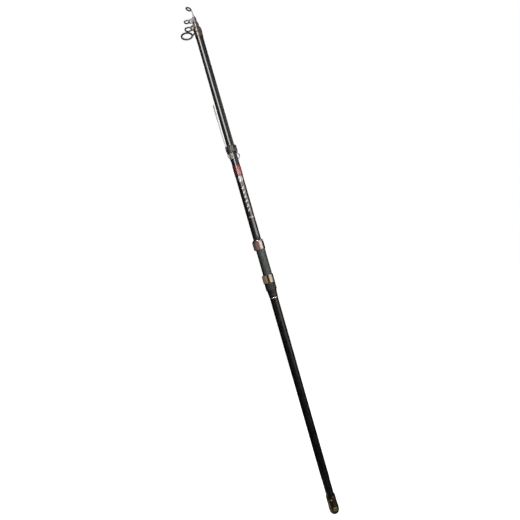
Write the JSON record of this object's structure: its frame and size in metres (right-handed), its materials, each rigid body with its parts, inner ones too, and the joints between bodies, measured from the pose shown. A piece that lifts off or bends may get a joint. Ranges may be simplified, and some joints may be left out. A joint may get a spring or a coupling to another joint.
{
  "type": "telescopic fishing rod",
  "caption": "Telescopic surf fishing rod put away: nested tapered sections, pipe reel seat with a screw-down hood, line guides and a fold-down stripper guide.",
  "frame": {"origin": "centre of the flat end of the butt cap", "axes": "+Z along the blank, from the butt to the tip; -X towards the guides and the reel foot; +Y completes the right-handed frame"},
  "size_m": [0.0642, 0.04, 1.3802],
  "materials": {
    "polished steel": "polished",
    "smoke-plated steel": "satin, smoke-plated",
    "gunmetal cap": "anodised, satin to gloss",
    "black rubber": "matte",
    "black blank": "clear-coated",
    "shrink sleeve": "satin",
    "dark plastic": "satin",
    "seat plastic": "matte",
    "red winding": "thread under clear epoxy",
    "maroon winding": "thread under clear epoxy",
    "brown winding": "thread under clear epoxy",
    "guide ring": "polished, ceramic-like"
  },
  "bodies": {
    "butt_section": {"butt_blank": "black blank", "butt_ferrule": "polished steel", "grip_sleeve": "shrink sleeve", "rear_trim_ring": "polished steel", "rear_collar": "dark plastic", "seat_body": "seat plastic", "fixed_hood": "dark plastic", "fixed_hood_cover": "polished steel", "front_flange": "polished steel", "red_wrap": "red winding", "red_wrap_trim_low": "maroon winding", "red_wrap_trim_high": "maroon winding", "stripper_foot": "polished steel", "stripper_collar": "dark plastic", "stripper_pin": "polished steel", "keeper_loop": "brown winding", "butt_mouth_winding": "brown winding", "guide_4_frame": "smoke-plated steel", "guide_4_ring": "guide ring"},
    "cap_carrier": {"shock_pad": "black rubber"},
    "butt_cap_turn": {"butt_cap": "gunmetal cap"},
    "section_2": {"section_2_blank": "black blank", "guide_3_frame": "smoke-plated steel", "guide_3_ring": "guide ring"},
    "section_3": {"section_3_blank": "black blank", "guide_2_frame": "smoke-plated steel", "guide_2_ring": "guide ring"},
    "tip_section": {"tip_blank": "black blank", "tip_top_frame": "smoke-plated steel", "tip_top_ring": "guide ring"},
    "sliding_hood": {"moving_hood": "dark plastic", "moving_hood_cover": "polished steel"},
    "lock_nut_turn": {"lock_nut": "dark plastic"},
    "stripper_fold": {"stripper_frame": "polished steel", "stripper_ring": "guide ring"}
  },
  "joints": [
    {"name": "section_2_slide", "type": "slide", "parent": "butt_section", "child": "section_2", "axis": [0, 0, 1], "range_m": [0, 1.159]},
    {"name": "section_3_slide", "type": "slide", "parent": "section_2", "child": "section_3", "axis": [0, 0, 1], "range_m": [0, 1.194]},
    {"name": "tip_slide", "type": "slide", "parent": "section_3", "child": "tip_section", "axis": [0, 0, 1], "range_m": [0, 1.23]},
    {"name": "hood_slide", "type": "slide", "parent": "butt_section", "child": "sliding_hood", "axis": [0, 0, 1], "range_m": [0, 0.032]},
    {"name": "lock_nut_screw", "type": "hinge", "parent": "sliding_hood", "child": "lock_nut_turn", "pos_m": [0, 0, 0.6074], "axis": [0, 0, 1], "range_deg": [0, 3601]},
    {"name": "cap_slide", "type": "slide", "parent": "butt_section", "child": "cap_carrier", "axis": [0, 0, -1], "range_m": [0, 0.015]},
    {"name": "butt_cap_screw", "type": "hinge", "parent": "cap_carrier", "child": "butt_cap_turn", "pos_m": [0, 0, 0], "axis": [0, 0, -1], "range_deg": [0, 3601]},
    {"name": "stripper_fold_hinge", "type": "hinge", "parent": "butt_section", "child": "stripper_fold", "pos_m": [-0.0129, 0, 0.9953], "axis": [0, -1, 0], "range_deg": [0, 90]}
  ],
  "couplings": [
    {"joint": "lock_nut_screw", "follows": "hood_slide", "rad_per_m": 1963.5},
    {"joint": "butt_cap_screw", "follows": "cap_slide", "rad_per_m": 4188.8}
  ]
}
